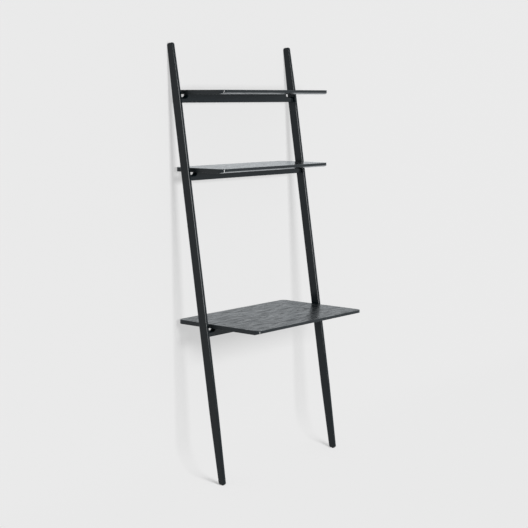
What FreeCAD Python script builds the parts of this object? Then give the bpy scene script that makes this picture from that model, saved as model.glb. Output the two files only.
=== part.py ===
import FreeCAD, Part
import os
import re
import Sketcher

# Ladder desk. Two slim uprights lean back against a wall. Three crossrails join them, and each
# rail carries one board: the desk board at writing height and two shallower shelves above it.
# The frame has +Z up, +Y towards the wall and X along the boards. The origin lies on the floor,
# in the middle of the desk's plan. Lengths are in millimetres, the lean is in degrees.

SIZES = {
    # Boards
    "desk_height": 750,
    "top_shelf_drop": 218,
    "shelf_spacing": 362,
    "board_width": 800,
    "board_thickness": 20,
    "desk_depth": 510,
    "shelf_depth": 309,
    "corner_radius": 30,
    "bevel_depth": 25,
    "bevel_height": 7,
    "board_ease": 2,
    "underside_ease": 1,
    "side_gap": 20,
    "desk_wall_gap": 21,
    "shelf_wall_gap": 8,
    # Uprights
    "lean_angle": 8.7,
    "upright_length": 2082,
    "upright_width": 17,
    "upright_depth": 48.5,
    "top_end_depth": 37,
    "top_taper_length": 250,
    "foot_end_depth": 36,
    "foot_taper_length": 335,
    "tip_radius": 11,
    "upright_ease": 5,
    # Crossrails
    "rail_height": 39.5,
    "rail_thickness": 24,
    "rail_setback": 13,
    "notch_length": 50,
    "notch_depth": 13,
    "cove_land": 1,
    "notch_ease": 9,
    "rail_ease": 2,
    # Dowels and cam fittings in the ends of the rails
    "fit_clearance": 0.25,
    "end_clearance": 0.5,
    "dowel_share": 0.3,
    "dowel_diameter": 6,
    "dowel_in_upright": 10,
    "dowel_in_rail": 18,
    "dowel_chamfer": 0.8,
    "bolt_share": 0.7,
    "cam_diameter": 12,
    "cam_depth": 10.5,
    "cam_from_end": 28,
    "bolt_thread_diameter": 5,
    "bolt_thread_length": 11,
    "bolt_collar_diameter": 6.4,
    "bolt_collar_length": 8,
    "bolt_neck_diameter": 3.6,
    "bolt_head_diameter": 5.6,
    "bolt_head_length": 4,
    # Screws through the rails into the boards
    "screw_inset": 70,
    "screw_diameter": 4,
    "screw_head_diameter": 8,
    "screw_head_height": 3,
    "screw_sink": 12,
    "screw_bite": 13,
    "screw_tip": 4,
    # Wall brackets and their screws
    "bracket_inset": 150,
    "bracket_width": 30,
    "bracket_thickness": 2.5,
    "bracket_overlap": 26,
    "bracket_drop": 34,
    "bracket_bend": 3,
    "bracket_corner": 5,
    "wall_hole_diameter": 5.5,
    "bracket_screw_inset": 7,
    "bracket_screw_pitch": 12,
    "bracket_screw_bite": 11,
    # Foot pads
    "pad_diameter": 10,
    "pad_thickness": 2,
    # How far a cut runs past the faces that it opens
    "overrun": 5,
}

# Places that follow from the sizes. The rounded back corner of each upright's top end touches the
# wall, so the wall, the lean and the length give the place of the foot. The shelves hang at set
# distances below the tops of the uprights, and the desk board stands at its height from the floor.
PLACES = {
    "wall_y": "(desk_wall_gap + desk_depth) / 2",
    "inner_x": "board_width / 2 + side_gap",
    "upright_x": "inner_x + upright_width / 2",
    "taper_slope": "(upright_depth - top_end_depth) / 2 / top_taper_length",
    "tip_y": "top_end_depth / 2 + tip_radius * (taper_slope - sqrt(1 + taper_slope ^ 2))",
    "tip_z": "upright_length - tip_radius",
    "foot_y": "wall_y - tip_radius - cos(lean_angle) * tip_y - sin(lean_angle) * tip_z",
    "foot_front": "-foot_end_depth / 2 * tan(lean_angle) + pad_thickness / cos(lean_angle)",
    "foot_back": "foot_end_depth / 2 * tan(lean_angle) + pad_thickness / cos(lean_angle)",
    "top_height": "upright_length * cos(lean_angle) - top_shelf_drop",
    "middle_height": "top_height - shelf_spacing",
    "rail_drop": "board_thickness + rail_height / 2",
    "rail_from_axis": "rail_setback - upright_depth / 2 / cos(lean_angle)",
    "desk_rail_y": "foot_y + tan(lean_angle) * (desk_height - rail_drop) + rail_from_axis",
    "middle_rail_y": "foot_y + tan(lean_angle) * (middle_height - rail_drop) + rail_from_axis",
    "top_rail_y": "foot_y + tan(lean_angle) * (top_height - rail_drop) + rail_from_axis",
    "neck_z": "-(rail_height + notch_depth) / 2",
    "dowel_y": "rail_thickness * dowel_share",
    "bolt_y": "rail_thickness * bolt_share",
    "notch_x": "inner_x - notch_length",
    "screw_x": "notch_x - screw_inset",
    "screw_y": "rail_thickness / 2",
    "screw_seat_z": "screw_sink - rail_height",
    "bolt_end": "cam_from_end + bolt_head_length / 2",
    "bracket_x": "board_width / 2 - bracket_inset",
    "desk_y": "wall_y - desk_wall_gap - desk_depth / 2",
    "shelf_y": "wall_y - shelf_wall_gap - shelf_depth / 2",
}

# Each board with its rail: label, depth, gap to the wall, height and middle of its plan.
BOARDS = {
    "desk": ("desk_board", "desk_depth", "desk_wall_gap", "desk_height", "desk_y"),
    "middle": ("middle_shelf", "shelf_depth", "shelf_wall_gap", "middle_height", "shelf_y"),
    "top": ("top_shelf", "shelf_depth", "shelf_wall_gap", "top_height", "shelf_y"),
}
BRACKETED = ("desk", "top")
SIDES = {"left": "-", "right": "+"}
INWARD = {"left": "+", "right": "-"}

# How a sketch numbers its origin and the points of a curve.
ORIGIN_INDEX, START_INDEX, END_INDEX, CENTRE_INDEX = -1, 1, 2, 3
TOLERANCE = 1e-4

doc = FreeCAD.newDocument("ladder_desk")
parts = []


# Sheets and expressions

def formula(text, home=""):
    """Writes sums of size names as an expression on the two sheets."""
    def cell(match):
        word = match.group()
        if word in SIZES:
            return "Sizes." + word
        if word in PLACES and home != "Places":
            return "Places." + word
        return word
    return re.sub("[a-z_]+", cell, text)


def fill_sheet(name, cells):
    sheet = doc.addObject("Spreadsheet::Sheet", name)
    for row, (alias, content) in enumerate(cells.items(), start=1):
        sheet.set(f"A{row}", alias)
        sheet.set(f"B{row}", content)
        sheet.setAlias(f"B{row}", alias)
    doc.recompute()
    return sheet


def value(text):
    return float(sizes.evalExpression(formula(text)))


def bind(thing, prop, text):
    thing.setExpression(prop, formula(text))


# Bodies, sketches and features

def new_body(label, place):
    body = doc.addObject("PartDesign::Body", label)
    body.Label = label
    for axis, text in zip("xyz", place):
        bind(body, f"Placement.Base.{axis}", text)
    parts.append(body)
    return body


def origin(body, role):
    return next(item for item in body.Origin.OriginFeatures if item.Role == role)


def new_sketch(body, role, place=("0", "0", "0")):
    """Starts a sketch on an origin plane, moved by place along its two axes and its normal."""
    sketch = body.newObject("Sketcher::SketchObject", body.Label + "_sketch")
    sketch.AttachmentSupport = [(origin(body, role), "")]
    sketch.MapMode = "FlatFace"
    for axis, text in zip("xyz", place):
        bind(sketch, f"AttachmentOffset.Base.{axis}", text)
    return sketch


def pin_point(sketch, curve, point, place):
    """Holds a point of a curve at a place measured from the sketch's origin."""
    for kind, text in zip(("DistanceX", "DistanceY"), place):
        rule = Sketcher.Constraint(kind, ORIGIN_INDEX, START_INDEX, curve, point, value(text))
        index = sketch.addConstraint(rule)
        bind(sketch, f"Constraints[{index}]", text)


def draw_outline(sketch, corners):
    points = [FreeCAD.Vector(value(across), value(up), 0) for across, up in corners]
    for start, end in zip(points, points[1:] + points[:1]):
        sketch.addGeometry(Part.LineSegment(start, end))
    for line, place in enumerate(corners):
        after = (line + 1) % len(corners)
        sketch.addConstraint(Sketcher.Constraint("Coincident", line, END_INDEX, after, START_INDEX))
        pin_point(sketch, line, START_INDEX, place)
    return sketch


def draw_circles(sketch, centres, diameter):
    for place in centres:
        middle = FreeCAD.Vector(value(place[0]), value(place[1]), 0)
        circle = Part.Circle(middle, FreeCAD.Vector(0, 0, 1), value(diameter) / 2)
        curve = sketch.addGeometry(circle)
        pin_point(sketch, curve, CENTRE_INDEX, place)
        index = sketch.addConstraint(Sketcher.Constraint("Diameter", curve, value(diameter)))
        bind(sketch, f"Constraints[{index}]", diameter)
    return sketch


def pad(body, sketch, length, side="One side", turned=False):
    feature = body.newObject("PartDesign::Pad", body.Label + "_pad")
    feature.Profile = sketch
    feature.SideType = side
    feature.Reversed = turned
    bind(feature, "Length", length)
    doc.recompute()
    return feature


def pocket(body, sketch, length, side="One side", turned=False):
    """Cuts a sketch into the body, and stops if the cut takes nothing away."""
    before = body.Tip.Shape.Volume
    feature = body.newObject("PartDesign::Pocket", body.Label + "_pocket")
    feature.Profile = sketch
    feature.SideType = side
    feature.Reversed = turned
    bind(feature, "Length", length)
    doc.recompute()
    if feature.Shape.Volume > before - TOLERANCE:
        raise RuntimeError(f"a cut in {body.Label} takes nothing away")
    return feature


def revolve(body, sketch, axis):
    feature = body.newObject("PartDesign::Revolution", body.Label + "_turned")
    feature.Profile = sketch
    feature.ReferenceAxis = (sketch, [axis])
    doc.recompute()
    return feature


def mirror(body, features):
    """Repeats features on the other side of the middle plane of the desk."""
    feature = body.newObject("PartDesign::Mirrored", body.Label + "_mirrored")
    feature.Originals = features
    feature.MirrorPlane = (origin(body, "YZ_Plane"), [""])
    body.Tip = feature
    doc.recompute()
    return feature


def fillet(body, radius, wanted):
    """Rounds the edges of the body for which wanted is true."""
    base = body.Tip
    edges = enumerate(base.Shape.Edges, start=1)
    names = [f"Edge{number}" for number, edge in edges if wanted(edge)]
    feature = body.newObject("PartDesign::Fillet", body.Label + "_fillet")
    feature.Base = (base, names)
    bind(feature, "Radius", radius)
    doc.recompute()
    if "Invalid" in feature.State:
        raise RuntimeError(f"a fillet of {body.Label} failed")
    return feature


def near(first, second):
    return abs(first - second) < TOLERANCE


# Uprights

def upright_outline():
    """Side view of an upright along its own axis, with the foot cut level with the floor."""
    half = "upright_depth / 2"
    foot = "foot_end_depth / 2"
    tip = "top_end_depth / 2"
    shoulder = "upright_length - top_taper_length"
    return [
        ("-" + foot, "foot_front"),
        (foot, "foot_back"),
        (half, "foot_taper_length"),
        (half, shoulder),
        (tip, "upright_length"),
        ("-" + tip, "upright_length"),
        ("-" + half, shoulder),
        ("-" + half, "foot_taper_length"),
    ]


def in_upright(across, height):
    """A place in the desk's frame, seen along and square to the leaning upright."""
    back = f"({across} - foot_y)"
    return (
        f"{back} * cos(lean_angle) - ({height}) * sin(lean_angle)",
        f"{back} * sin(lean_angle) + ({height}) * cos(lean_angle)",
    )


def rail_sockets(inset):
    """Places on an upright's inner face of one fitting, set in from the front of each rail."""
    sockets = []
    for name, board in BOARDS.items():
        height = f"{board[3]} - board_thickness + neck_z"
        sockets.append(in_upright(f"({name}_rail_y + {inset})", height))
    return sockets


def make_upright(side):
    body = new_body(f"{side}_upright", (SIDES[side] + "upright_x", "foot_y", "0"))
    bind(body, "Placement.Rotation.Axis.x", "1")
    bind(body, "Placement.Rotation.Axis.z", "0")
    bind(body, "Placement.Rotation.Angle", "-lean_angle")
    pad(body, draw_outline(new_sketch(body, "YZ_Plane"), upright_outline()), "upright_width", "Symmetric")
    round_upright(body)
    inner = INWARD[side] + "upright_width / 2"
    dowels = draw_circles(
        new_sketch(body, "YZ_Plane", ("0", "0", inner)),
        rail_sockets("dowel_y"),
        "dowel_diameter + 2 * fit_clearance",
    )
    pocket(body, dowels, "dowel_in_upright + end_clearance", turned=side == "right")
    bolts = draw_circles(
        new_sketch(body, "YZ_Plane", ("0", "0", inner)),
        rail_sockets("bolt_y"),
        "bolt_thread_diameter + 2 * fit_clearance",
    )
    pocket(body, bolts, "bolt_thread_length + end_clearance", turned=side == "right")


def round_upright(body):
    """Rounds the corners of both ends, then all the long edges."""
    def across(edge):
        return edge.BoundBox.XLength > value("upright_width / 2")

    def at_end(edge):
        height = edge.CenterOfMass.z
        return across(edge) and not low < height < high

    low = value("foot_taper_length / 2")
    high = value("upright_length - top_taper_length / 2")
    fillet(body, "tip_radius", at_end)
    fillet(body, "upright_ease", lambda edge: not across(edge))


def make_foot_pad(side):
    body = new_body(f"{side}_foot_pad", (SIDES[side] + "upright_x", "foot_y", "0"))
    pad(body, draw_circles(new_sketch(body, "XY_Plane"), [("0", "0")], "pad_diameter"), "pad_thickness")


# Crossrails and what joins them

def rail_place(name):
    return ("0", f"{name}_rail_y", f"{BOARDS[name][3]} - board_thickness")


def rail_outline():
    """Front view of a rail: each end is scooped out from above and leaves a neck."""
    return [
        ("-inner_x", "-rail_height"),
        ("inner_x", "-rail_height"),
        ("inner_x", "-notch_depth"),
        ("notch_x", "-notch_depth"),
        ("notch_x", "0"),
        ("-notch_x", "0"),
        ("-notch_x", "-notch_depth"),
        ("-inner_x", "-notch_depth"),
    ]


def round_rail(body):
    """Coves the inner corner of each scoop and rounds its rim, most of all at the front."""
    step = value("notch_x")
    floor = value("-notch_depth")
    bottom = value("-rail_height")
    back = value("rail_thickness")

    def in_corner(edge):
        middle = edge.CenterOfMass
        return edge.BoundBox.YLength > TOLERANCE and near(abs(middle.x), step) and near(middle.z, floor)

    def on_rim(edge, depth):
        box = edge.BoundBox
        flat = near(box.YMin, depth) and near(box.YMax, depth)
        scooped = abs(edge.CenterOfMass.x) > step - TOLERANCE and box.ZMin > floor - TOLERANCE
        return flat and scooped

    def below(edge):
        return near(edge.BoundBox.ZMax, bottom) and edge.BoundBox.XLength > step

    fillet(body, "notch_depth - cove_land", in_corner)
    fillet(body, "notch_ease", lambda edge: on_rim(edge, 0))
    fillet(body, "rail_ease", lambda edge: on_rim(edge, back))
    fillet(body, "rail_ease", below)


def screw_row():
    return ["-screw_x", "-screw_x / 3"]


def both_sides(row):
    return row + [f"-({place})" for place in row]


def make_rail(name):
    body = new_body(f"{name}_rail", rail_place(name))
    sketch = draw_outline(new_sketch(body, "XZ_Plane"), rail_outline())
    pad(body, sketch, "rail_thickness", turned=True)
    round_rail(body)
    bore_rail_ends(body)
    bore_rail_back(body)
    bore_rail_screws(body)


def bore_rail_ends(body):
    for side in SIDES:
        face = ("0", "0", SIDES[side] + "inner_x")
        dowel = draw_circles(
            new_sketch(body, "YZ_Plane", face),
            [("dowel_y", "neck_z")],
            "dowel_diameter + 2 * fit_clearance",
        )
        pocket(body, dowel, "dowel_in_rail + end_clearance", turned=side == "left")
        bolt = draw_circles(
            new_sketch(body, "YZ_Plane", face),
            [("bolt_y", "neck_z")],
            "bolt_collar_diameter + 2 * fit_clearance",
        )
        pocket(body, bolt, "bolt_end + end_clearance", turned=side == "left")


def bore_rail_back(body):
    seats = both_sides(["inner_x - cam_from_end"])
    sketch = draw_circles(
        new_sketch(body, "XZ_Plane", ("0", "0", "-rail_thickness")),
        [(place, "neck_z") for place in seats],
        "cam_diameter + 2 * fit_clearance",
    )
    pocket(body, sketch, "cam_depth", turned=True)


def bore_rail_screws(body):
    centres = [(place, "screw_y") for place in both_sides(screw_row())]
    plane = ("0", "0", "-rail_height")
    sink = draw_circles(
        new_sketch(body, "XY_Plane", plane), centres, "screw_head_diameter + 2 * fit_clearance"
    )
    pocket(body, sink, "screw_sink", turned=True)
    shank = draw_circles(new_sketch(body, "XY_Plane", plane), centres, "screw_diameter + 2 * fit_clearance")
    pocket(body, shank, "rail_height", turned=True)


def make_dowels(name):
    body = new_body(f"{name}_rail_dowels", rail_place(name))
    plane = ("-inner_x", "neck_z", "-dowel_y")
    edge = "(dowel_diameter / 2 - dowel_chamfer)"
    outline = [
        ("-dowel_in_upright", "0"),
        ("dowel_in_rail", "0"),
        ("dowel_in_rail", edge),
        ("dowel_in_rail - dowel_chamfer", "dowel_diameter / 2"),
        ("dowel_chamfer - dowel_in_upright", "dowel_diameter / 2"),
        ("-dowel_in_upright", edge),
    ]
    mirror(body, [revolve(body, draw_outline(new_sketch(body, "XZ_Plane", plane), outline), "H_Axis")])


def make_cam_bolts(name):
    """Threaded into the upright, with a collar on its face and a head held by the cam."""
    body = new_body(f"{name}_rail_cam_bolts", rail_place(name))
    plane = ("-inner_x", "neck_z", "-bolt_y")
    outline = [
        ("-bolt_thread_length", "0"),
        ("bolt_end", "0"),
        ("bolt_end", "bolt_head_diameter / 2"),
        ("bolt_end - bolt_head_length", "bolt_head_diameter / 2"),
        ("bolt_end - bolt_head_length", "bolt_neck_diameter / 2"),
        ("bolt_collar_length", "bolt_neck_diameter / 2"),
        ("bolt_collar_length", "bolt_collar_diameter / 2"),
        ("0", "bolt_collar_diameter / 2"),
        ("0", "bolt_thread_diameter / 2"),
        ("-bolt_thread_length", "bolt_thread_diameter / 2"),
    ]
    mirror(body, [revolve(body, draw_outline(new_sketch(body, "XZ_Plane", plane), outline), "H_Axis")])


def make_cam_locks(name):
    """Round housings in the back of the rail, bored from the side for the bolts' heads."""
    body = new_body(f"{name}_rail_cam_locks", rail_place(name))
    plane = ("0", "0", "-rail_thickness")
    seats = [(place, "neck_z") for place in both_sides(["inner_x - cam_from_end"])]
    pad(body, draw_circles(new_sketch(body, "XZ_Plane", plane), seats, "cam_diameter"), "cam_depth")
    for side in SIDES:
        bore = draw_circles(
            new_sketch(body, "YZ_Plane", ("0", "0", SIDES[side] + "inner_x")),
            [("bolt_y", "neck_z")],
            "bolt_head_diameter + 2 * fit_clearance",
        )
        pocket(body, bore, "bolt_end + end_clearance", turned=side == "left")


def screw_outline(bite):
    """Half section of a screw that stands on its head, with its seat at height zero."""
    return [
        ("0", "-screw_head_height"),
        ("screw_head_diameter / 2", "-screw_head_height"),
        ("screw_head_diameter / 2", "0"),
        ("screw_diameter / 2", "0"),
        ("screw_diameter / 2", f"{bite} - screw_tip"),
        ("0", bite),
    ]


def make_screws(label, place, stands, bite):
    """Upright screws at the stands of one side, repeated on the other side."""
    body = new_body(label, place)
    turned = []
    for across, depth, seat in stands:
        sketch = new_sketch(body, "XZ_Plane", (across, seat, f"-({depth})"))
        turned.append(revolve(body, draw_outline(sketch, screw_outline(bite)), "V_Axis"))
    mirror(body, turned)


def make_rail_screws(name):
    stands = [(across, "screw_y", "screw_seat_z") for across in screw_row()]
    make_screws(f"{name}_rail_screws", rail_place(name), stands, "screw_bite - screw_seat_z")


# Boards

def make_board(name):
    label, depth, gap, height, middle = BOARDS[name]
    body = new_body(label, ("0", middle, f"{height} - board_thickness"))
    plan = [
        ("-board_width / 2", f"-{depth} / 2"),
        ("board_width / 2", f"-{depth} / 2"),
        ("board_width / 2", f"{depth} / 2"),
        ("-board_width / 2", f"{depth} / 2"),
    ]
    pad(body, draw_outline(new_sketch(body, "XY_Plane"), plan), "board_thickness")
    fillet(body, "corner_radius", lambda edge: edge.BoundBox.ZLength > TOLERANCE)
    bevel_board(body, depth)
    top = value("board_thickness")
    fillet(body, "board_ease", lambda edge: near(edge.BoundBox.ZMin, top))
    ease_underside(body, depth)
    bore_board(body, name)


def bevel_board(body, depth):
    """Planes the underside away towards the front edge, which then looks thinner."""
    front = f"-{depth} / 2"
    past = f"{front} - overrun"
    outline = [
        (f"{front} + bevel_depth", "0"),
        (past, "bevel_height * (1 + overrun / bevel_depth)"),
        (past, "-overrun"),
        (f"{front} + bevel_depth", "-overrun"),
    ]
    sketch = draw_outline(new_sketch(body, "YZ_Plane"), outline)
    pocket(body, sketch, "board_width + 2 * overrun", "Symmetric")


def ease_underside(body, depth):
    """Takes the sharpness off the lower rim, but leaves the line where the bevel starts."""
    start = value(f"bevel_depth - {depth} / 2")
    low = value("board_thickness / 2")

    def on_rim(edge):
        box = edge.BoundBox
        bevel_line = near(box.YMin, start) and near(box.YMax, start)
        return box.ZMax < low and not bevel_line

    fillet(body, "underside_ease", on_rim)


def bore_board(body, name):
    """Blind holes in the underside for the screws of the rail and of the brackets."""
    middle = BOARDS[name][4]
    across = f"{name}_rail_y + screw_y - {middle}"
    centres = [(place, across) for place in both_sides(screw_row())]
    rail = draw_circles(new_sketch(body, "XY_Plane"), centres, "screw_diameter + 2 * fit_clearance")
    pocket(body, rail, "screw_bite + end_clearance", turned=True)
    if name not in BRACKETED:
        return
    centres = []
    for depth in bracket_screw_places(name):
        for place in both_sides(["bracket_x"]):
            centres.append((place, f"wall_y + {depth} - {middle}"))
    brackets = draw_circles(new_sketch(body, "XY_Plane"), centres, "screw_diameter + 2 * fit_clearance")
    pocket(body, brackets, "bracket_screw_bite + end_clearance", turned=True)


# Wall brackets

def bracket_reach(name):
    return f"({BOARDS[name][2]} + bracket_overlap)"


def bracket_screw_places(name):
    """Places of a bracket's two screws, measured from the wall."""
    first = f"(bracket_screw_inset - {bracket_reach(name)})"
    return [first, f"({first} + bracket_screw_pitch)"]


def make_bracket(name, side):
    """A bent steel angle: one leg under the board, the other flat on the wall."""
    place = (SIDES[side] + "bracket_x", "wall_y", f"{BOARDS[name][3]} - board_thickness")
    body = new_body(f"{name}_wall_bracket_{side}", place)
    reach = "-" + bracket_reach(name)
    outline = [
        ("0", "0"),
        (reach, "0"),
        (reach, "-bracket_thickness"),
        ("-bracket_thickness", "-bracket_thickness"),
        ("-bracket_thickness", "-bracket_drop"),
        ("0", "-bracket_drop"),
    ]
    sketch = draw_outline(new_sketch(body, "YZ_Plane"), outline)
    pad(body, sketch, "bracket_width", "Symmetric")
    round_bracket(body, value(reach))
    screws = [("0", depth) for depth in bracket_screw_places(name)]
    holes = draw_circles(new_sketch(body, "XY_Plane"), screws, "screw_diameter + 2 * fit_clearance")
    pocket(body, holes, "bracket_thickness")
    wall = [("0", "-(bracket_drop + bracket_thickness) / 2")]
    hole = draw_circles(new_sketch(body, "XZ_Plane"), wall, "wall_hole_diameter")
    pocket(body, hole, "bracket_thickness", turned=True)


def round_bracket(body, reach):
    thickness = value("bracket_thickness")
    drop = value("-bracket_drop")

    def across(edge):
        return edge.BoundBox.XLength > TOLERANCE

    def at_corner(edge):
        middle = edge.CenterOfMass
        return not across(edge) and (near(middle.y, reach) or near(middle.z, drop))

    def at_bend(edge, depth):
        middle = edge.CenterOfMass
        return across(edge) and near(middle.y, -depth) and near(middle.z, -depth)

    fillet(body, "bracket_corner", at_corner)
    fillet(body, "bracket_bend", lambda edge: at_bend(edge, thickness))
    fillet(body, "bracket_bend + bracket_thickness", lambda edge: at_bend(edge, 0))


def make_bracket_screws(name):
    stands = []
    for depth in bracket_screw_places(name):
        stands.append(("-bracket_x", depth, "-bracket_thickness"))
    place = ("0", "wall_y", f"{BOARDS[name][3]} - board_thickness")
    make_screws(f"{name}_bracket_screws", place, stands, "bracket_thickness + bracket_screw_bite")


# The whole desk

def make_desk():
    for side in SIDES:
        make_upright(side)
        make_foot_pad(side)
    for name in BOARDS:
        make_board(name)
        make_rail(name)
        make_dowels(name)
        make_cam_bolts(name)
        make_cam_locks(name)
        make_rail_screws(name)
    for name in BRACKETED:
        for side in SIDES:
            make_bracket(name, side)
        make_bracket_screws(name)


def check_desk():
    for item in doc.Objects:
        if {"Invalid", "Error"} & set(item.State):
            raise RuntimeError(f"{item.Label} failed: {item.State}")
    for body in parts:
        if body.Shape.isNull() or not body.Shape.isValid():
            raise RuntimeError(f"{body.Label} has no valid shape")


def write_desk():
    os.makedirs("parts", exist_ok=True)
    for body in parts:
        body.Shape.exportStep(f"parts/{body.Label}.step")
        box = body.Shape.optimalBoundingBox()
        extent = f"{box.XLength:.1f} x {box.YLength:.1f} x {box.ZLength:.1f}"
        print(f"{body.Label}: {len(body.Shape.Solids)} solid(s), {extent} mm")


sizes = fill_sheet("Sizes", {alias: str(size) for alias, size in SIZES.items()})
fill_sheet("Places", {alias: "=" + formula(text, "Places") for alias, text in PLACES.items()})
make_desk()
doc.recompute()
check_desk()
write_desk()
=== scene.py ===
# %% [markdown]
# A ladder desk in black-stained wood. Two slim uprights lean on a wall, and three crossrails between
# them carry a deep desk board and two shallower shelves. The packed parts already have the right
# shapes, so this lesson loads them as a fixed frame, puts a studio and a camera round them, gives
# each of them a finish, and models the small fittings that hold the desk together.

# %% Load the packed parts
from math import atan2, pi, radians

import bmesh
import bpy
from mathutils import Euler, Matrix, Vector


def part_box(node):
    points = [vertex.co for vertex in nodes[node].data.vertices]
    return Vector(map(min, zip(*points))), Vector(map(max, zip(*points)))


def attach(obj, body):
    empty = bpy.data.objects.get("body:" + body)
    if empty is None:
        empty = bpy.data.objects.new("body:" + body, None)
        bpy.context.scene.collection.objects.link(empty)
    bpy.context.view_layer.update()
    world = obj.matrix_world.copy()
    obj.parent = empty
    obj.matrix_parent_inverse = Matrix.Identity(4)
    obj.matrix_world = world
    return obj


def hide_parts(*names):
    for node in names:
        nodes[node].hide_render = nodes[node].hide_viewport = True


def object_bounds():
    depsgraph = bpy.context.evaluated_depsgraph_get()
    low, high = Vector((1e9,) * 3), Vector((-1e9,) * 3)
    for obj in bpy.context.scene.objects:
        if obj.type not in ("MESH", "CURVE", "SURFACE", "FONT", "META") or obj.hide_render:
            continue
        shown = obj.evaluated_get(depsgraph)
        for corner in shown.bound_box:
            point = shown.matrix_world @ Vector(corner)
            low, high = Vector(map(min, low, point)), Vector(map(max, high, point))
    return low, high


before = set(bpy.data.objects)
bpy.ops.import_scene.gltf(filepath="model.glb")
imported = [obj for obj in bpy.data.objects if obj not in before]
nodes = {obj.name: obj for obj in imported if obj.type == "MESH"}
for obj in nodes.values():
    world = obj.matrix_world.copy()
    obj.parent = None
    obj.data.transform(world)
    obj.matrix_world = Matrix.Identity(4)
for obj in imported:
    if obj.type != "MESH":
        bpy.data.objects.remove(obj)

cad_box = [list(corner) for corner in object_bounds()]
print("loaded", len(nodes), "parts, from", cad_box[0], "to", cad_box[1])

# %% [markdown]
# The camera stands at the front left of the desk, just below the height of the top shelf, with a
# long lens. Blender's own helpers could frame the desk, but only a camera with a worked-out place
# and lens shows the boards at the slant that they have in the photograph. The lens and the shift are
# given in pixels of a square picture and turned into Blender's units.

# %% The camera
PICTURE = 528
SENSOR = 36.0
LENS_PIXELS = 1302.98
SHIFT_PIXELS = -14
CAMERA_AT = (-4.84962, -4.02966, 1.81203)
LOOKS_DOWN, LOOKS_RIGHT = radians(6.745), radians(50.0)


def added(name, data):
    """An object in the scene that holds a camera, a light or a mesh."""
    made = bpy.data.objects.new(name, data)
    bpy.context.scene.collection.objects.link(made)
    return made


camera_data = bpy.data.cameras.new("camera")
camera_data.sensor_width = SENSOR
camera_data.lens = LENS_PIXELS / PICTURE * SENSOR
camera_data.shift_y = SHIFT_PIXELS / PICTURE
camera = added("camera", camera_data)
camera.location = CAMERA_AT
camera.rotation_euler = (pi / 2 - LOOKS_DOWN, 0, -LOOKS_RIGHT)
bpy.context.scene.camera = camera
bpy.context.scene.view_settings.view_transform = "Standard"
print("lens", round(camera_data.lens, 2), "mm")

# %% [markdown]
# Shader sums are easier to read as Python than as rows of nodes. A small class wraps the output of
# a node: adding or multiplying two of them adds a Math node, and one method makes any other node
# from its type, its settings and what goes into its sockets.

# %% Sums with sockets
class Shade:
    """The output of a shader node, which can be used in sums."""

    def __init__(self, tree, output=None):
        self.tree = tree
        self.output = output

    def node(self, kind, settings={}, sockets={}, output=0):
        made = self.tree.nodes.new("ShaderNode" + kind)
        for name, setting in settings.items():
            setattr(made, name, setting)
        for name, content in sockets.items():
            if isinstance(content, Shade):
                self.tree.links.new(content.output, made.inputs[name])
            else:
                made.inputs[name].default_value = content
        return Shade(self.tree, made.outputs[output] if made.outputs else None)

    def also(self, output):
        """Another output of the same node."""
        return Shade(self.tree, self.output.node.outputs[output])

    def sum(self, operation, first, second=0.0):
        return self.node("Math", {"operation": operation}, {0: first, 1: second})

    def vector(self, operation, *sockets, output=0):
        return self.node("VectorMath", {"operation": operation}, dict(enumerate(sockets)), output)

    def __add__(self, other):
        return self.sum("ADD", self, other)

    def __radd__(self, other):
        return self.sum("ADD", other, self)

    def __sub__(self, other):
        return self.sum("SUBTRACT", self, other)

    def __rsub__(self, other):
        return self.sum("SUBTRACT", other, self)

    def __mul__(self, other):
        return self.sum("MULTIPLY", self, other)

    def __rmul__(self, other):
        return self.sum("MULTIPLY", other, self)

    def __pow__(self, other):
        return self.sum("POWER", self, other)


print("sums are ready:", [name for name in vars(Shade) if name.startswith("__r")])

# %% [markdown]
# The light is that of a plain studio. A wide soft glow comes from the front, as from a large white
# screen. It could be one more area lamp, but in the world it depends on the direction alone and
# doesn't fade. The camera sees the plain pale grey of the background instead of the glow, and
# mirrored rays see the same grey, a touch cooler.

# %% The glow of the studio
PALE = 0.815
WHITE = (1, 1, 1, 1)
COOL = (0.934, 1.0, 1.052, 1)
GLOW_TOWARDS = (-0.20, -0.92, 0.34)
GLOW_ALL_ROUND, GLOW_IN_FRONT = 0.12, 0.24


def seen_directly(shade):
    """One for what the camera sees, also in a mirror or through glass, and zero for stray light."""
    ray = shade.node("LightPath", output="Is Camera Ray")
    return ray + ray.also("Is Glossy Ray") + ray.also("Is Transmission Ray")


def blended(shade, factor, first, second):
    """A colour between two, the second where the factor is one."""
    return shade.node("Mix", {"data_type": "RGBA"}, {0: factor, 6: first, 7: second}, 2)


def tint(shade):
    """White for the camera and a touch of blue in reflections."""
    return blended(shade, shade.node("LightPath", output="Is Glossy Ray"), WHITE, COOL)


def facing(shade, direction, towards):
    return shade.vector("DOT_PRODUCT", direction, towards, output="Value")


world = bpy.data.worlds.new("studio")
world.use_nodes = True
world.node_tree.nodes.clear()
bpy.context.scene.world = world
sky = Shade(world.node_tree)
direction = sky.node("TexCoord", output="Generated")
in_front = sky.sum("MAXIMUM", facing(sky, direction, GLOW_TOWARDS)) ** 2
glow = sky.node("Background", {}, {"Strength": in_front * GLOW_IN_FRONT + GLOW_ALL_ROUND})
pale = sky.node("Background", {}, {"Color": tint(sky), "Strength": PALE})
both = sky.node("MixShader", {}, {0: seen_directly(sky), 1: glow, 2: pale})
sky.node("OutputWorld", {}, {"Surface": both})
print("glow from", GLOW_ALL_ROUND, "behind to", round(GLOW_ALL_ROUND + GLOW_IN_FRONT, 2), "in front")

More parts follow.
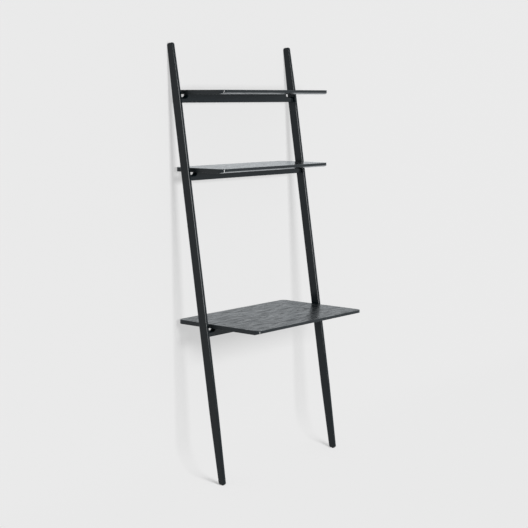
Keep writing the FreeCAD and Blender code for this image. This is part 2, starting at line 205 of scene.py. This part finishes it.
# %% [markdown]
# A lamp with a soft box stands at the front left, as high as a person, and draws the faint shadows
# on the wall. A broad screen is seen in the gloss of the uprights alone, where it draws a thin line
# along the rounded edges, and a small lamp below each board puts a spark on its front corner. One
# lamp for everything would do the same, but from behind it would turn the boards white, and a lamp
# below a board can't be seen in its top.

# %% The lamps
AIM = Vector((0, 0.1, 1.3))
LAMP_AT = Vector((-1.34, -3.40, 1.88))
LAMP_TOWARDS = (AIM - LAMP_AT).normalized()
LAMP_POWER, LAMP_SIZE = 140.0, (1.1, 0.75)
SCREEN_AT = Vector((-2.3, -3.0, 1.95))
SCREEN_POWER, SCREEN_SIZE = 220.0, (3.0, 2.2)
SPARK_HEIGHTS = {"desk_board": 0.14, "middle_shelf": 1.31, "top_shelf": 1.735}
SPARK_POWER, SPARK_SIZE = 28.0, (0.5, 0.2)
UPRIGHTS = ("left_upright", "right_upright")


def lamp(name, power, size, place, towards):
    """A rectangle of light that the camera doesn't see."""
    light = bpy.data.lights.new(name, "AREA")
    light.energy = power
    light.shape = "RECTANGLE"
    light.size, light.size_y = size
    made = added(name, light)
    made.location = place
    made.rotation_euler = towards.to_track_quat("-Z", "Y").to_euler()
    made.visible_camera = False
    return made


def seen_only_in(made, mirrors):
    """Let a lamp show in the gloss of a few parts and nowhere else."""
    made.visible_diffuse = False
    linked = bpy.data.collections.new(made.name + "_mirrors")
    for name in mirrors:
        linked.objects.link(nodes[name])
    made.light_linking.receiver_collection = linked


soft_box = lamp("soft_box", LAMP_POWER, LAMP_SIZE, LAMP_AT, LAMP_TOWARDS)
soft_box.visible_glossy = False
screen = lamp("screen", SCREEN_POWER, SCREEN_SIZE, SCREEN_AT, AIM - SCREEN_AT)
seen_only_in(screen, UPRIGHTS)
for board, height in SPARK_HEIGHTS.items():
    place = Vector((LAMP_AT.x, LAMP_AT.y, height))
    inwards = Vector((-place.x, -place.y, 0))
    spark = lamp(board + "_spark", SPARK_POWER, SPARK_SIZE, place, inwards)
    seen_only_in(spark, [board])
print("lamp of", LAMP_POWER, "watts, a screen and", len(SPARK_HEIGHTS), "sparks")

# %% [markdown]
# The desk stands on a floor and leans on a wall, and in the photograph both are the same pale grey.
# White paint could be lit until it is even, but under a near lamp it is brighter near the lamp. So
# this paper also gives off what the lamp and the glow leave short of the pale grey, and only shadows
# stand out. The more paint and the less light of its own it has, the darker they are: most at the
# feet, least on the open floor. Light that strays from the sheet is a plain value. It shows only
# from the front, so that the back of the desk can be looked at too.

# %% Paper for floor and wall
WALL_PAINT, FLOOR_PAINT = 0.28, 0.05
FOOT_PAINT, FOOT_REACH = 0.74, 0.31
GLOW_ON_WALL, GLOW_ON_FLOOR = 0.132, 0.130


def middle_of(node):
    low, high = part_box(node)
    return [(a + b) / 2 for a, b in zip(low, high)]


def step_up(shade, level, low, high):
    """Zero below low, one above high and smooth between."""
    span = {"Value": level, "From Min": low, "From Max": high}
    return shade.node("MapRange", {"interpolation_type": "SMOOTHSTEP"}, span)


def paper(name, feet):
    """Matt paint that also gives off what the lamp and the glow leave short of the pale grey."""
    material = bpy.data.materials.new(name)
    material.use_nodes = True
    material.node_tree.nodes.clear()
    shade = Shade(material.node_tree)
    place = shade.node("TexCoord", output="Object")
    normal = shade.node("NewGeometry", output="Normal")
    level = shade.node("SeparateXYZ", {}, {0: normal}, "Z")

    to_lamp = shade.vector("SUBTRACT", LAMP_AT, place)
    distance = shade.vector("LENGTH", to_lamp, output="Value")
    lamp_slant = shade.sum("MAXIMUM", facing(shade, to_lamp, -LAMP_TOWARDS))
    lit = facing(shade, to_lamp, normal) * lamp_slant * distance ** -4 * (LAMP_POWER / pi ** 2)
    glowing = GLOW_ON_WALL + level * (GLOW_ON_FLOOR - GLOW_ON_WALL)

    to_feet = [shade.vector("DISTANCE", place, foot, output="Value") for foot in feet]
    near_foot = 1 - step_up(shade, shade.sum("MINIMUM", *to_feet), 0.0, FOOT_REACH)
    paint = WALL_PAINT + level * (FLOOR_PAINT - WALL_PAINT) + near_foot * FOOT_PAINT
    short = PALE - paint * (lit + glowing)

    matt = shade.node("BsdfDiffuse", {}, {"Color": paint})
    lift = shade.node("Emission", {}, {"Color": tint(shade), "Strength": short})
    seen = shade.node("AddShader", {}, {0: matt, 1: lift})
    stray = shade.node("Emission", {}, {"Strength": GLOW_ALL_ROUND})
    front = shade.node("MixShader", {}, {0: seen_directly(shade), 1: stray, 2: seen})
    behind = shade.node("NewGeometry", output="Backfacing")
    sided = shade.node("MixShader", {}, {0: behind, 1: front, 2: shade.node("BsdfTransparent")})
    shade.node("OutputMaterial", {}, {"Surface": sided})
    return material


BACKDROP_PAPER = paper("backdrop_paper", [middle_of("left_foot_pad"), middle_of("right_foot_pad")])
print("paper with", len(BACKDROP_PAPER.node_tree.nodes), "nodes")

# %% [markdown]
# Floor and wall meet without a line, like the sheet of paper in a studio that hangs down a wall and
# sweeps out along the floor. Two planes and a bevel between them could give the curve. Here one edge
# is drawn back along the floor, spun up by a quarter turn and drawn up the wall, and nothing is left
# over to clean up.

# %% Floor and wall
REACH = 14.0
SWEEP, SWEEP_STEPS = 0.15, 16
WALL_GAP = 0.0005
WALL_Y = cad_box[1][1] + WALL_GAP


def drawn_on(bm, edge, towards):
    """Extrude an edge and give the edge that it ends in."""
    made = bmesh.ops.extrude_edge_only(bm, edges=[edge])["geom"]
    moved = [element for element in made if isinstance(element, bmesh.types.BMVert)]
    bmesh.ops.translate(bm, verts=moved, vec=towards)
    return next(element for element in made if isinstance(element, bmesh.types.BMEdge)
                and all(vert in moved for vert in element.verts))


def smooth_object(name, bm, material):
    """An object with a smooth mesh in one finish; the bmesh that it comes from is used up."""
    mesh = bpy.data.meshes.new(name)
    bm.to_mesh(mesh)
    bm.free()
    mesh.shade_smooth()
    mesh.materials.append(material)
    return added(name, mesh)


bm = bmesh.new()
edge = bm.edges.new([bm.verts.new((side * REACH, -REACH, 0)) for side in (-1, 1)])
edge = drawn_on(bm, edge, (0, REACH + WALL_Y - SWEEP, 0))
bend = bmesh.ops.spin(bm, geom=[edge, *edge.verts], cent=(0, WALL_Y - SWEEP, SWEEP), axis=(1, 0, 0),
                      angle=radians(90), steps=SWEEP_STEPS)["geom_last"]
edge = next(element for element in bend if isinstance(element, bmesh.types.BMEdge))
drawn_on(bm, edge, (0, 0, REACH))
bm.normal_update()
if next(iter(bm.faces)).normal.z < 0:
    bmesh.ops.reverse_faces(bm, faces=bm.faces)
backdrop = smooth_object("backdrop", bm, BACKDROP_PAPER)
print("backdrop of", len(backdrop.data.polygons), "faces, wall at y =", round(WALL_Y, 4))

# %% [markdown]
# Every finish on the desk is a surface shader whose colour, gloss and relief vary over the part. A
# picture could be wrapped round each part for that, but noise in space needs no unwrapping and has
# no seams. These helpers make the shader, set what stays the same, wire up what varies, and stretch
# noise along the grain.

# %% Helpers for finishes
def new_finish(name, **constants):
    """A material with a bare surface shader, whose unvarying sockets are set at once."""
    material = bpy.data.materials.new(name)
    material.use_nodes = True
    surface = material.node_tree.nodes["Principled BSDF"]
    for socket, content in constants.items():
        surface.inputs[socket.replace("_", " ")].default_value = content
    return material, Shade(material.node_tree), surface


def wire(shade, surface, **varying):
    for socket, content in varying.items():
        shade.tree.links.new(content.output, surface.inputs[socket.replace("_", " ")])


def stretched_noise(shade, spot, bands, detail=2.0, output=0):
    """Noise with so many bands in a metre along X and across it."""
    along, across = bands
    scaled = shade.vector("MULTIPLY", spot, (along, across, across))
    return shade.node("TexNoise", {}, {"Vector": scaled, "Scale": 1.0, "Detail": detail}, output)


def relief(shade, height, depth):
    return shade.node("Bump", {}, {"Height": height, "Strength": 1.0, "Distance": depth})


def dress(node, material):
    for place in nodes[node].material_slots:
        place.material = material


print("finishes are wanted for", len(nodes), "parts")

# %% [markdown]
# The wood is ring-porous, like ash or oak, stained black and lacquered to a satin sheen. The stain
# leaves almost no colour, so the grain shows as streaks of gloss between open, matt pores. A picture
# of veneer could be wrapped on, but a pattern in space runs through the whole solid, so that it
# turns the corners and shows as dots at the ends. Year rings are the distance from a heart line
# that lies below the board, streaks and pores are noise stretched along the grain, and all of them
# sink a little into the surface.

# %% Black-stained wood
STAIN_DARK = (0.0008, 0.0016, 0.0021, 1)
STAIN_BODY = (0.0024, 0.0060, 0.0082, 1)
# Bands in a metre, along the grain and across it
DRIFT, PATCHES = (2.0, 7.0), (2.5, 9)
STREAKS, FIBRES, PORES = (14, 140), (18, 900), (45, 1500)
RING_BEND = (0, 0.018, 0.018)
WOOD_RELIEF = 0.00008


def stained_wood(part, turn, heart, ring, lacquer, gloss, matt):
    """Grain runs along X of the turned space; heart is the heart line's depth and slope."""
    material, shade, surface = new_finish(part + "_stain", IOR=lacquer)
    to_grain = Euler(turn).to_matrix()
    away = -(to_grain @ Vector(middle_of(part)))
    where = shade.node("TexCoord", output="Object")
    spot = shade.node("Mapping", {}, {"Vector": where, "Location": away, "Rotation": turn})

    drift = stretched_noise(shade, spot, DRIFT, output="Color")
    bent = shade.vector("MULTIPLY_ADD", drift, RING_BEND, spot)
    along = shade.node("SeparateXYZ", {}, {0: bent})
    across, deep = along.also(1), along.also(2)
    depth = deep + along * heart[1] + heart[0]
    radius = (across * across + depth * depth) ** 0.5
    early = (1 - shade.sum("FRACT", radius * (1 / ring))) ** 3

    pores = step_up(shade, stretched_noise(shade, bent, PORES, 1.0), 0.54, 0.70) * (early * 0.75 + 0.25)
    fibre = stretched_noise(shade, bent, FIBRES, 3.0)
    patch = stretched_noise(shade, spot, PATCHES)
    grain = to_grain.transposed() @ Vector((1, 0, 0))
    facing_grain = facing(shade, shade.node("NewGeometry", output="Normal"), grain)
    cut_end = step_up(shade, facing_grain * facing_grain, 0.3, 0.8)
    bands = stretched_noise(shade, bent, STREAKS, 3.0) + 0.08 * early
    streak = step_up(shade, bands, 0.42, 0.64) * (1 - cut_end)

    stain = 0.60 + 0.5 * patch - 0.20 * streak - 0.25 * early - 0.70 * pores - 0.30 * cut_end
    rough_grain = matt * streak + 0.08 * early + 0.20 * pores + 0.05 * (fibre - 0.5) + 0.30 * cut_end
    height = 0.5 * fibre - 0.4 * streak - 0.2 * early - 1.0 * pores
    wire(shade, surface, Base_Color=blended(shade, stain, STAIN_DARK, STAIN_BODY),
         Roughness=gloss + rough_grain, Normal=relief(shade, height, WOOD_RELIEF))
    return material


print("stain between", STAIN_DARK[:3], "and", STAIN_BODY[:3])

# %% [markdown]
# The boards show wide year rings, as where a plank is cut near the heart, and the slim rails and
# uprights a close, straight grain. One material for all would run straight through the joints, so
# each part gets its own, with the grain along its length. The boards differ a little in sheen: the
# desk board is the most matt, as in the photograph.

# %% Stain the wooden parts
LEAN = radians(8.7)
LEVELS = ("desk", "middle", "top")
ALONG_BOARDS, ALONG_UPRIGHTS = (0, 0, 0), (LEAN, radians(90), 0)
WIDE_GRAIN = {"heart": (0.06, 0.10), "ring": 0.006, "lacquer": 1.46}
CLOSE_GRAIN = {"heart": (0.16, 0.02), "ring": 0.004, "lacquer": 1.37, "gloss": 0.12, "matt": 0.06}
BOARD_SHEEN = {
    "desk_board": {"gloss": 0.19, "matt": 0.21},
    "middle_shelf": {"gloss": 0.105, "matt": 0.085},
    "top_shelf": {"gloss": 0.12, "matt": 0.14},
}
for board, sheen in BOARD_SHEEN.items():
    dress(board, stained_wood(board, ALONG_BOARDS, **WIDE_GRAIN, **sheen))
for name in LEVELS:
    dress(name + "_rail", stained_wood(name + "_rail", ALONG_BOARDS, **CLOSE_GRAIN))
for upright in UPRIGHTS:
    dress(upright, stained_wood(upright, ALONG_UPRIGHTS, **CLOSE_GRAIN))
print("stained", [name for name in nodes if nodes[name].material_slots[0].material.name.endswith("stain")])

# %% [markdown]
# The other finishes belong to the fittings: bright zinc plate on screws and bolts, grey die-cast zinc
# on the cam locks, black powder coat on the wall brackets and rubber under the feet. All of them are
# one colour that wanders a little, with some change of gloss and a fine relief. Each could have
# nodes of its own, but one function makes all four. The dowels are plain beech, which has short dark
# flecks along the grain.

# %% Metal, powder coat, rubber and beech
BEECH_PALE, BEECH_FLECK = (0.54, 0.36, 0.20, 1), (0.34, 0.19, 0.09, 1)
BEECH_BANDS, BEECH_RELIEF = (160, 1600), 0.00003


def speckled(name, first, second, scale, gloss, grip, depth, metallic=0.0):
    """A finish between two colours; scale is the number of grains in a metre."""
    material, shade, surface = new_finish(name, Metallic=metallic)
    where = shade.node("TexCoord", output="Object")
    broad = stretched_noise(shade, where, (scale / 9, scale / 9), 3.0)
    grains = stretched_noise(shade, where, (scale, scale))
    wire(shade, surface, Base_Color=blended(shade, broad, first, second),
         Roughness=gloss + grip * broad + 0.05 * grains, Normal=relief(shade, grains, depth))
    return material


def beech(name):
    material, shade, surface = new_finish(name, Roughness=0.6)
    where = shade.node("TexCoord", output="Object")
    flecks = step_up(shade, stretched_noise(shade, where, BEECH_BANDS), 0.56, 0.66)
    wire(shade, surface, Base_Color=blended(shade, flecks, BEECH_PALE, BEECH_FLECK),
         Normal=relief(shade, flecks, BEECH_RELIEF))
    return material


ZINC_PLATE = speckled("zinc_plate", (0.56, 0.58, 0.62, 1), (0.68, 0.66, 0.58, 1),
                      scale=700, gloss=0.18, grip=0.16, depth=0.000008, metallic=1.0)
DIE_CAST = speckled("die_cast_zinc", (0.38, 0.38, 0.39, 1), (0.52, 0.52, 0.53, 1),
                    scale=1400, gloss=0.30, grip=0.20, depth=0.00002, metallic=1.0)
POWDER = speckled("powder_coat", (0.012, 0.013, 0.014, 1), (0.020, 0.021, 0.022, 1),
                  scale=900, gloss=0.34, grip=0.14, depth=0.00006)
RUBBER = speckled("foot_rubber", (0.012, 0.012, 0.012, 1), (0.024, 0.024, 0.023, 1),
                  scale=2200, gloss=0.68, grip=0.16, depth=0.00004)
BEECH = beech("plain_beech")
for node in nodes:
    if "wall_bracket" in node:
        dress(node, POWDER)
    if node.endswith("foot_pad"):
        dress(node, RUBBER)
print("finishes:", [material.name for material in (ZINC_PLATE, DIE_CAST, POWDER, RUBBER, BEECH)])

# %% [markdown]
# The packed parts show screws and bolts as smooth pins. A real one is turned, and then its thread is
# rolled on. A boolean could cut the thread, but turning is nearer to how it is made: half of the
# outline is spun round, and the thread is a small triangle that climbs while it is spun.

# %% Turning and threading
STEPS = 24
TOUCHING = 1e-6
RIDGE_HALF, RIDGE_ROOT = 0.3, 0.95


def turned(bm, outline):
    """A solid turned about Z from points of radius and height, with its open ends closed."""
    points = [bm.verts.new((radius, 0, height)) for radius, height in outline]
    edges = [bm.edges.new(pair) for pair in zip(points, points[1:])]
    bmesh.ops.spin(bm, geom=points + edges, axis=(0, 0, 1), angle=2 * pi, steps=STEPS, use_merge=True)
    bmesh.ops.remove_doubles(bm, verts=bm.verts, dist=TOUCHING)
    bmesh.ops.holes_fill(bm, edges=[edge for edge in bm.edges if edge.is_boundary])


def threaded(bm, core, crest, start, end, pitch):
    """A ridge that winds up from start to end on a core of the given radius."""
    half, root = pitch * RIDGE_HALF, core * RIDGE_ROOT
    section = [(root, start - half), (crest, start), (root, start + half)]
    ridge = bm.faces.new([bm.verts.new((radius, 0, height)) for radius, height in section])
    turns = (end - start) / pitch
    steps = round(turns * STEPS / 2)
    rise = (0, 0, (end - start) / steps)
    bmesh.ops.spin(bm, geom=[ridge], axis=(0, 0, 1), angle=2 * pi * turns, steps=steps, dvec=rise)


print("a full turn has", STEPS, "steps, and a turn of thread", STEPS // 2)

# %% [markdown]
# A cross for the screwdriver is pressed into each head. A boolean could sink it, but it leaves loose
# slivers. Here the flat face is cut along a few lines, and the cells that form the cross are pushed
# in and drawn together a little, so that the cross narrows towards its floor.

# %% A cross in a flat face
CROSS_TAPER = 0.75
ACROSS_AND_ALONG = (Vector((1, 0, 0)), Vector((0, 1, 0)))


def whole(faces):
    """Faces with their edges and corners, as the cutting operators want them."""
    edges = dict.fromkeys(edge for face in faces for edge in face.edges)
    corners = dict.fromkeys(vert for face in faces for vert in face.verts)
    return [*faces, *edges, *corners]


def pushed_in(bm, cells):
    """Extrude a few faces where they are, and give the new corners, which can then be moved."""
    made = bmesh.ops.extrude_face_region(bm, geom=whole(cells))["geom"]
    return [element for element in made if isinstance(element, bmesh.types.BMVert)]


def cross_recess(bm, height, arm, half_width, depth):
    """A cross pressed along Z by depth into the flat face at the given height."""
    def flat_faces():
        return [face for face in bm.faces
                if all(abs(vert.co.z - height) < TOUCHING for vert in face.verts)]

    for axis in ACROSS_AND_ALONG:
        for offset in (-arm, -half_width, half_width, arm):
            bmesh.ops.bisect_plane(bm, geom=whole(flat_faces()), plane_co=axis * offset, plane_no=axis)
    cells = []
    for face in flat_faces():
        narrow, wide = sorted(abs(value) for value in face.calc_center_median()[:2])
        if narrow < half_width and wide < arm:
            cells.append(face)
    floor_corners = pushed_in(bm, cells)
    bmesh.ops.scale(bm, verts=floor_corners, vec=(CROSS_TAPER, CROSS_TAPER, 1))
    bmesh.ops.translate(bm, verts=floor_corners, vec=(0, 0, depth))


print("the floor of a cross has", CROSS_TAPER, "of its width")

# %% [markdown]
# Each kind of fitting is bought in a bag: all of them are alike. Linked copies would share one mesh,
# but a group of fittings is one packed part here, so the shape is made once, copied to every place
# in one mesh, and this piece then stands for the packed part.

# %% One shape at many places
SHARP_DEGREES = 35


def at(x, y, z):
    return Matrix.Translation((x, y, z))


def repeated(node, material, single, places):
    """One piece for a node: the single shape, copied to every place."""
    bmesh.ops.recalc_face_normals(single, faces=single.faces)
    pattern = bpy.data.meshes.new("pattern")
    single.to_mesh(pattern)
    single.free()
    bm = bmesh.new()
    for place in places:
        copied = len(bm.verts)
        bm.from_mesh(pattern)
        bm.verts.ensure_lookup_table()
        bmesh.ops.transform(bm, matrix=place, verts=bm.verts[copied:])
    bpy.data.meshes.remove(pattern)
    piece = smooth_object(node + "_detail", bm, material)
    piece.data.set_sharp_from_angle(angle=radians(SHARP_DEGREES))
    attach(piece, "root")
    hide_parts(node)
    print(piece.name, len(places), "copies,", len(piece.data.polygons), "faces")


print("edges of more than", SHARP_DEGREES, "degrees stay sharp")

# %% [markdown]
# Four screws go up through each rail into its board, and two through each wall bracket. They have a
# rounded head, a short neck and a pointed tip. Blender's add-on for bolts could make them, but an
# outline of a few points gives this head and tip exactly, and the packed pins give the length.

# %% Screws
ACROSS_HEAD, HEAD_HEIGHT = 0.008, 0.003
SHANK, CORE, PITCH, TIP = 0.0040, 0.0029, 0.0018, 0.0040
SHARES_OF_RAIL = (-1, -1 / 3, 1 / 3, 1)


def screw(length):
    """A screw that stands on its head and points up."""
    bm = bmesh.new()
    rim, core, neck = ACROSS_HEAD / 2, CORE / 2, length - TIP
    thread_start = HEAD_HEIGHT + PITCH
    dome = [(rim * 0.70, 0), (rim * 0.90, HEAD_HEIGHT * 0.15), (rim, HEAD_HEIGHT * 0.5), (rim, HEAD_HEIGHT)]
    turned(bm, dome + [(SHANK / 2, HEAD_HEIGHT), (core, thread_start), (core, neck), (0, length)])
    cross_recess(bm, 0, rim * 0.48, rim * 0.11, HEAD_HEIGHT * 0.55)
    threaded(bm, core, SHANK / 2, thread_start, neck, PITCH)
    return bm


inset = ACROSS_HEAD / 2
for name in LEVELS:
    group = name + "_rail_screws"
    low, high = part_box(group)
    outer = high[0] - inset
    spots = [at(share * outer, middle_of(group)[1], low[2]) for share in SHARES_OF_RAIL]
    repeated(group, ZINC_PLATE, screw(high[2] - low[2]), spots)
for name in ("desk", "top"):
    group = name + "_bracket_screws"
    low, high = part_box(group)
    rows = (low[1] + inset, high[1] - inset)
    spots = [at(x, y, low[2]) for x in (low[0] + inset, high[0] - inset) for y in rows]
    repeated(group, ZINC_PLATE, screw(high[2] - low[2]), spots)

# %% [markdown]
# A cam bolt is screwed into the upright and reaches into the rail, where a cam lock takes hold of its
# head. It has a thread, a thicker collar that seats in the rail, and a thin neck behind the head for
# the cam to grip. It could be put together from cylinders, but turned from one outline it has no
# faces inside. It ends a little past the middle of the lock.

# %% Cam bolts
SIDES = ((-1, radians(90)), (1, radians(-90)))
BOLT_THREAD, BOLT_CORE, THREAD_LENGTH, BOLT_PITCH = 0.0050, 0.0038, 0.0110, 0.0020
COLLAR, COLLAR_LENGTH, NECK = 0.0064, 0.0080, 0.0036
BOLT_HEAD, BOLT_HEAD_LENGTH, RIM = 0.0056, 0.0040, 0.0005
PAST_LOCK_MIDDLE = 0.002


def cam_bolt(length):
    """A bolt that stands on the end of its thread, with its head up."""
    bm = bmesh.new()
    core, collar, neck, head = BOLT_CORE / 2, COLLAR / 2, NECK / 2, BOLT_HEAD / 2
    collar_top, head_base = THREAD_LENGTH + COLLAR_LENGTH, length - BOLT_HEAD_LENGTH
    stem = [(0, 0), (core * 0.6, 0), (core, 2 * RIM), (core, THREAD_LENGTH)]
    seat = [(collar - RIM, THREAD_LENGTH), (collar, THREAD_LENGTH + RIM),
            (collar, collar_top - RIM), (collar - RIM, collar_top), (neck, collar_top)]
    top = [(neck, head_base - neck / 2), (head, head_base + RIM),
           (head, length - 2 * RIM), (head - 2 * RIM, length)]
    turned(bm, stem + seat + top)
    cross_recess(bm, length, head * 0.5, head * 0.14, -BOLT_HEAD_LENGTH * 0.4)
    threaded(bm, core, BOLT_THREAD / 2, BOLT_PITCH, THREAD_LENGTH - BOLT_PITCH / 2, BOLT_PITCH)
    return bm


def inwards_from_ends(group):
    """A place at each outer end of a group's box, turned so that Z points inwards."""
    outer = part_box(group)[1][0]
    _, y, z = middle_of(group)
    return [at(side * outer, y, z) @ Matrix.Rotation(turn, 4, "Y") for side, turn in SIDES]


for name in LEVELS:
    group = name + "_rail_cam_bolts"
    lock_low, lock_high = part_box(name + "_rail_cam_locks")
    lock_middle = lock_high[0] - (lock_high[2] - lock_low[2]) / 2
    bolt_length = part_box(group)[1][0] - lock_middle + PAST_LOCK_MIDDLE
    repeated(group, ZINC_PLATE, cam_bolt(bolt_length), inwards_from_ends(group))

# %% [markdown]
# A cam lock is a short drum, sunk into the back of the rail, with a mouth in its side for the bolt and
# a cross in its back for the screwdriver. A boolean would cut the mouth, but cutting the side with
# four planes and pushing the cells in leaves cleaner faces.

# %% Cam locks
DRUM_SIDES = 36
MOUTH, MOUTH_DEPTH, MOUTH_OFFSET = 0.0061, 0.0086, -0.00195
MOUTH_SIDE = 0.5
BACKWARDS = Matrix.Rotation(radians(-90), 4, "X")


def climb(edge):
    """How far an edge goes up or down."""
    return abs(edge.verts[0].co.z - edge.verts[1].co.z)


def cam_lock(across, height):
    """A drum about Z with its mouth towards X."""
    bm = bmesh.new()
    bmesh.ops.create_cone(bm, cap_ends=True, segments=DRUM_SIDES, radius1=across / 2,
                          radius2=across / 2, depth=height)
    rims = [edge for edge in bm.edges if climb(edge) < TOUCHING]
    bmesh.ops.bevel(bm, geom=rims, offset=RIM, affect="EDGES", segments=2, profile=0.5, material=-1)
    cross_recess(bm, height / 2, across * 0.27, across * 0.075, -height * 0.25)
    bm.normal_update()
    cut = whole([face for face in bm.faces if face.normal.x > MOUTH_SIDE])
    half = MOUTH / 2
    for place, axis in ((0, Vector((0, 1, 0))), (MOUTH_OFFSET, Vector((0, 0, 1)))):
        for offset in (place - half, place + half):
            cut = bmesh.ops.bisect_plane(bm, geom=cut, plane_co=axis * offset, plane_no=axis)["geom"]
    mouth = []
    for face in cut:
        if isinstance(face, bmesh.types.BMFace):
            middle = face.calc_center_median()
            if abs(middle.y) < half and abs(middle.z - MOUTH_OFFSET) < half:
                mouth.append(face)
    bmesh.ops.translate(bm, verts=pushed_in(bm, mouth), vec=(-MOUTH_DEPTH, 0, 0))
    return bm


for name in LEVELS:
    group = name + "_rail_cam_locks"
    low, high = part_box(group)
    across, depth = high[2] - low[2], high[1] - low[1]
    _, y, z = middle_of(group)
    seats = []
    for side, mouth_turn in ((-1, pi), (1, 0)):
        seat = at(side * (high[0] - across / 2), y, z)
        seats.append(seat @ BACKWARDS @ Matrix.Rotation(mouth_turn, 4, "Z"))
    repeated(group, DIE_CAST, cam_lock(across, depth), seats)

# %% [markdown]
# A beech dowel beside each bolt keeps the rail from turning. Its flutes let glue and air out of the
# hole. They could be cut one by one, but here the dowel is a prism with twice as many sides as
# flutes, and every second line of it is moved in. Then both rims are chamfered.

# %% Dowels
DOWEL_LENGTH = 0.028
FLUTES, FLUTE_DEPTH, DOWEL_CHAMFER = 12, 0.00025, 0.0008


def dowel(across, length):
    """A fluted pin that stands on its end."""
    bm = bmesh.new()
    bmesh.ops.create_cone(bm, cap_ends=True, segments=2 * FLUTES, radius1=across / 2,
                          radius2=across / 2, depth=length)
    lines = [edge for edge in bm.edges if climb(edge) > length / 2]
    lines.sort(key=lambda edge: round(atan2(edge.verts[0].co.y, edge.verts[0].co.x), 6))
    flutes = [vert for edge in lines[::2] for vert in edge.verts]
    inward = 1 - FLUTE_DEPTH * 2 / across
    bmesh.ops.scale(bm, verts=flutes, vec=(inward, inward, 1))
    ends = [face for face in bm.faces if len(face.verts) > 4]
    rims = [edge for face in ends for edge in face.edges]
    bmesh.ops.bevel(bm, geom=rims, offset=DOWEL_CHAMFER, affect="EDGES", segments=1, profile=0.5,
                    material=-1)
    bmesh.ops.translate(bm, verts=bm.verts, vec=(0, 0, length / 2))
    return bm


for name in LEVELS:
    group = name + "_rail_dowels"
    low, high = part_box(group)
    pin = dowel(high[1] - low[1], DOWEL_LENGTH)
    repeated(group, BEECH, pin, inwards_from_ends(group))

# %% [markdown]
